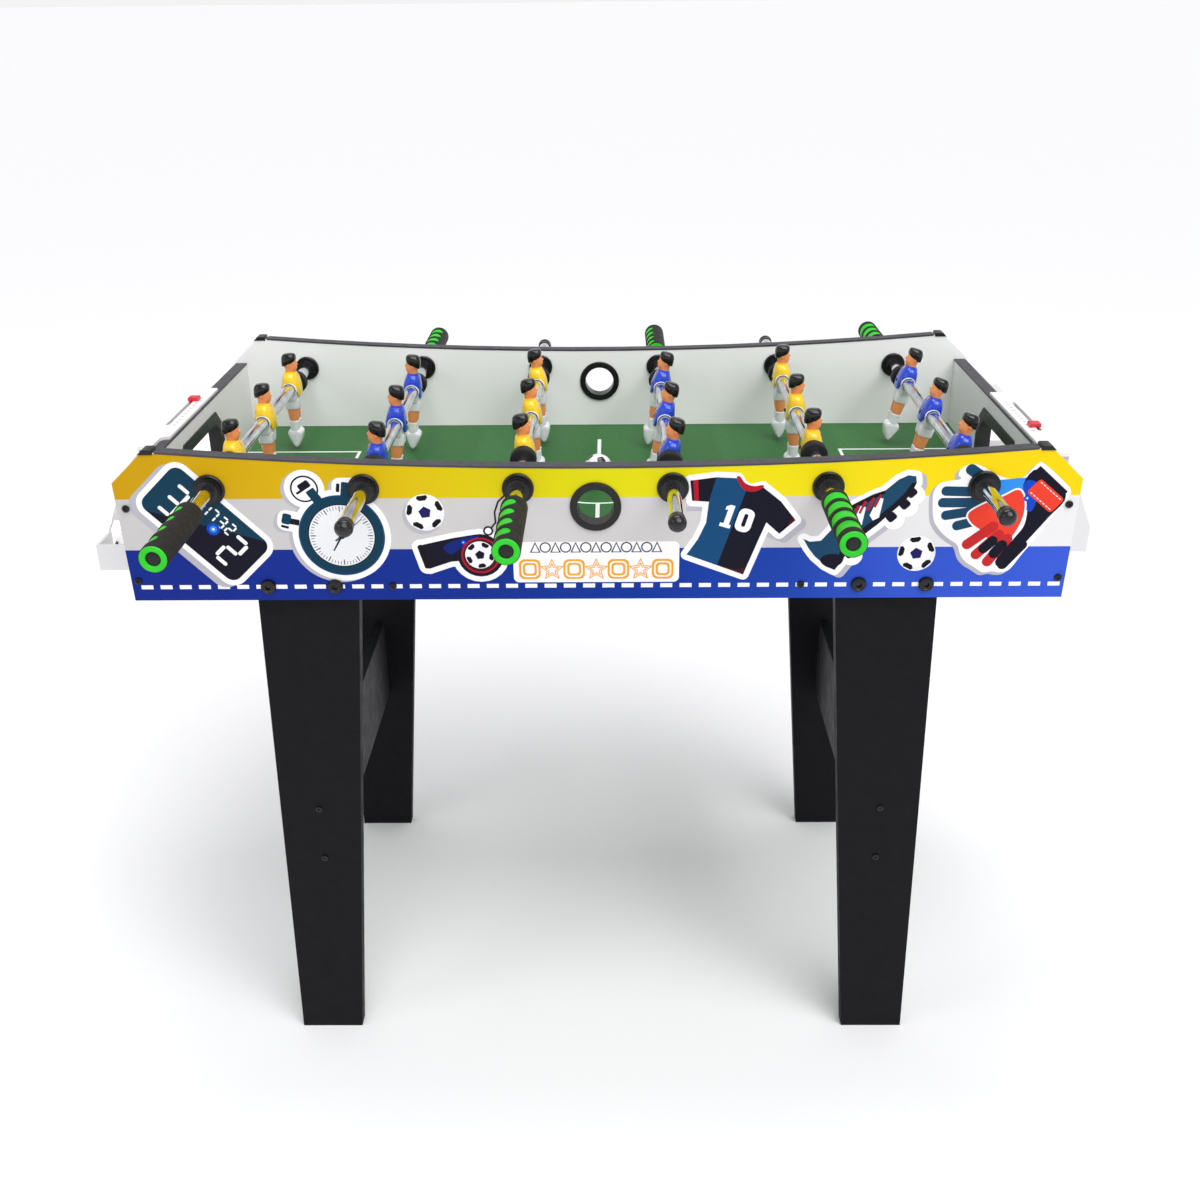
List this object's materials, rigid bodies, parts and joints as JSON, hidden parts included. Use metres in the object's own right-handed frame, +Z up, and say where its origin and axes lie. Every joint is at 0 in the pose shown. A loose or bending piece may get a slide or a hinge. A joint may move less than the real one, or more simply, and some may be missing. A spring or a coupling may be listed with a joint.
{
  "type": "foosball table",
  "caption": "Free-standing foosball table with sagging side panels, turning and sliding rods of moulded players, goal boxes, score counters and splayed board legs.",
  "frame": {"origin": "on the floor, under the middle of the table", "axes": "+X along the table, towards the right end; +Y across it, away from the front player; +Z up"},
  "size_m": [0.96, 0.738, 0.6741],
  "materials": {
    "side_laminate": "printed laminate, satin",
    "wall_laminate": "light grey laminate, satin",
    "edge_moulding": "dark grey, matt",
    "black_plastic": "black, satin",
    "field": "printed green board, satin",
    "batten_wood": "raw pine",
    "white_plastic": "white, satin gloss",
    "red_plastic": "red, gloss",
    "ball_plastic": "white with black panels, gloss",
    "black_board": "black laminate, satin",
    "black_steel": "black, semi-gloss",
    "zinc_steel": "zinc plated",
    "bearing_plastic": "black, satin",
    "chrome_tube": "polished chrome",
    "yellow_men": "painted, gloss",
    "blue_men": "painted, gloss",
    "grip_rubber": "green and black, matt",
    "black_rubber": "black, satin"
  },
  "bodies": {
    "cabinet": {"front_side_panel": "side_laminate", "rear_side_panel": "side_laminate", "left_end_panel": "wall_laminate", "right_end_panel": "wall_laminate", "edge_mouldings": "edge_moulding", "corner_caps": "black_plastic", "ball_entry_rings": "black_plastic", "left_goal_frame": "black_plastic", "right_goal_frame": "black_plastic", "bushing_housings": "black_plastic", "bushing_rings": "black_plastic", "playfield": "field", "playfield_battens": "batten_wood", "left_goal_box": "white_plastic", "right_goal_box": "white_plastic", "left_score_plate": "white_plastic", "right_score_plate": "white_plastic", "front_left_leg": "black_board", "front_right_leg": "black_board", "rear_left_leg": "black_board", "rear_right_leg": "black_board", "leg_stretchers": "black_board", "leg_bolts": "black_steel", "wood_screws": "black_steel", "leg_nuts": "zinc_steel"},
    "rod_1_bearings": {"rod_1_bearings": "bearing_plastic"},
    "rod_1": {"rod_1_tube": "chrome_tube", "rod_1_men": "yellow_men", "rod_1_grip": "grip_rubber", "rod_1_fittings": "black_rubber"},
    "rod_2_bearings": {"rod_2_bearings": "bearing_plastic"},
    "rod_2": {"rod_2_tube": "chrome_tube", "rod_2_men": "blue_men", "rod_2_grip": "grip_rubber", "rod_2_fittings": "black_rubber"},
    "rod_3_bearings": {"rod_3_bearings": "bearing_plastic"},
    "rod_3": {"rod_3_tube": "chrome_tube", "rod_3_men": "yellow_men", "rod_3_grip": "grip_rubber", "rod_3_fittings": "black_rubber"},
    "rod_4_bearings": {"rod_4_bearings": "bearing_plastic"},
    "rod_4": {"rod_4_tube": "chrome_tube", "rod_4_men": "blue_men", "rod_4_grip": "grip_rubber", "rod_4_fittings": "black_rubber"},
    "rod_5_bearings": {"rod_5_bearings": "bearing_plastic"},
    "rod_5": {"rod_5_tube": "chrome_tube", "rod_5_men": "yellow_men", "rod_5_grip": "grip_rubber", "rod_5_fittings": "black_rubber"},
    "rod_6_bearings": {"rod_6_bearings": "bearing_plastic"},
    "rod_6": {"rod_6_tube": "chrome_tube", "rod_6_men": "blue_men", "rod_6_grip": "grip_rubber", "rod_6_fittings": "black_rubber"},
    "left_score_pointer": {"left_score_pointer": "red_plastic"},
    "right_score_pointer": {"right_score_pointer": "red_plastic"},
    "game_ball": {"game_ball": "ball_plastic"},
    "spare_ball": {"spare_ball": "ball_plastic"}
  },
  "joints": [
    {"name": "rod_1_turn", "type": "hinge", "parent": "cabinet", "child": "rod_1_bearings", "pos_m": [-0.34375, 0, 0.6337], "axis": [0, 1, 0], "continuous": true},
    {"name": "rod_1_slide", "type": "slide", "parent": "rod_1_bearings", "child": "rod_1", "axis": [0, 1, 0], "range_m": [-0.042, 0.05]},
    {"name": "rod_2_turn", "type": "hinge", "parent": "cabinet", "child": "rod_2_bearings", "pos_m": [-0.20625, 0, 0.6337], "axis": [0, 1, 0], "continuous": true},
    {"name": "rod_2_slide", "type": "slide", "parent": "rod_2_bearings", "child": "rod_2", "axis": [0, 1, 0], "range_m": [-0.032, 0.06]},
    {"name": "rod_3_turn", "type": "hinge", "parent": "cabinet", "child": "rod_3_bearings", "pos_m": [-0.06875, 0, 0.6337], "axis": [0, 1, 0], "continuous": true},
    {"name": "rod_3_slide", "type": "slide", "parent": "rod_3_bearings", "child": "rod_3", "axis": [0, 1, 0], "range_m": [-0.054, 0.038]},
    {"name": "rod_4_turn", "type": "hinge", "parent": "cabinet", "child": "rod_4_bearings", "pos_m": [0.06875, 0, 0.6337], "axis": [0, 1, 0], "continuous": true},
    {"name": "rod_4_slide", "type": "slide", "parent": "rod_4_bearings", "child": "rod_4", "axis": [0, 1, 0], "range_m": [-0.04, 0.052]},
    {"name": "rod_5_turn", "type": "hinge", "parent": "cabinet", "child": "rod_5_bearings", "pos_m": [0.20625, 0, 0.6337], "axis": [0, 1, 0], "continuous": true},
    {"name": "rod_5_slide", "type": "slide", "parent": "rod_5_bearings", "child": "rod_5", "axis": [0, 1, 0], "range_m": [-0.066, 0.026]},
    {"name": "rod_6_turn", "type": "hinge", "parent": "cabinet", "child": "rod_6_bearings", "pos_m": [0.34375, 0, 0.6337], "axis": [0, 1, 0], "continuous": true},
    {"name": "rod_6_slide", "type": "slide", "parent": "rod_6_bearings", "child": "rod_6", "axis": [0, 1, 0], "range_m": [-0.05, 0.042]},
    {"name": "left_score_slide", "type": "slide", "parent": "cabinet", "child": "left_score_pointer", "axis": [0, 1, 0], "range_m": [-0.082, 0.004]},
    {"name": "right_score_slide", "type": "slide", "parent": "cabinet", "child": "right_score_pointer", "axis": [0, 1, 0], "range_m": [-0.0095, 0.0765]},
    {"name": "game_ball_roll", "type": "slide", "parent": "cabinet", "child": "game_ball", "axis": [0, 1, 0], "range_m": [-0.184, 0.184]},
    {"name": "spare_ball_roll", "type": "slide", "parent": "cabinet", "child": "spare_ball", "axis": [0, 1, 0], "range_m": [0, 0.233]}
  ]
}
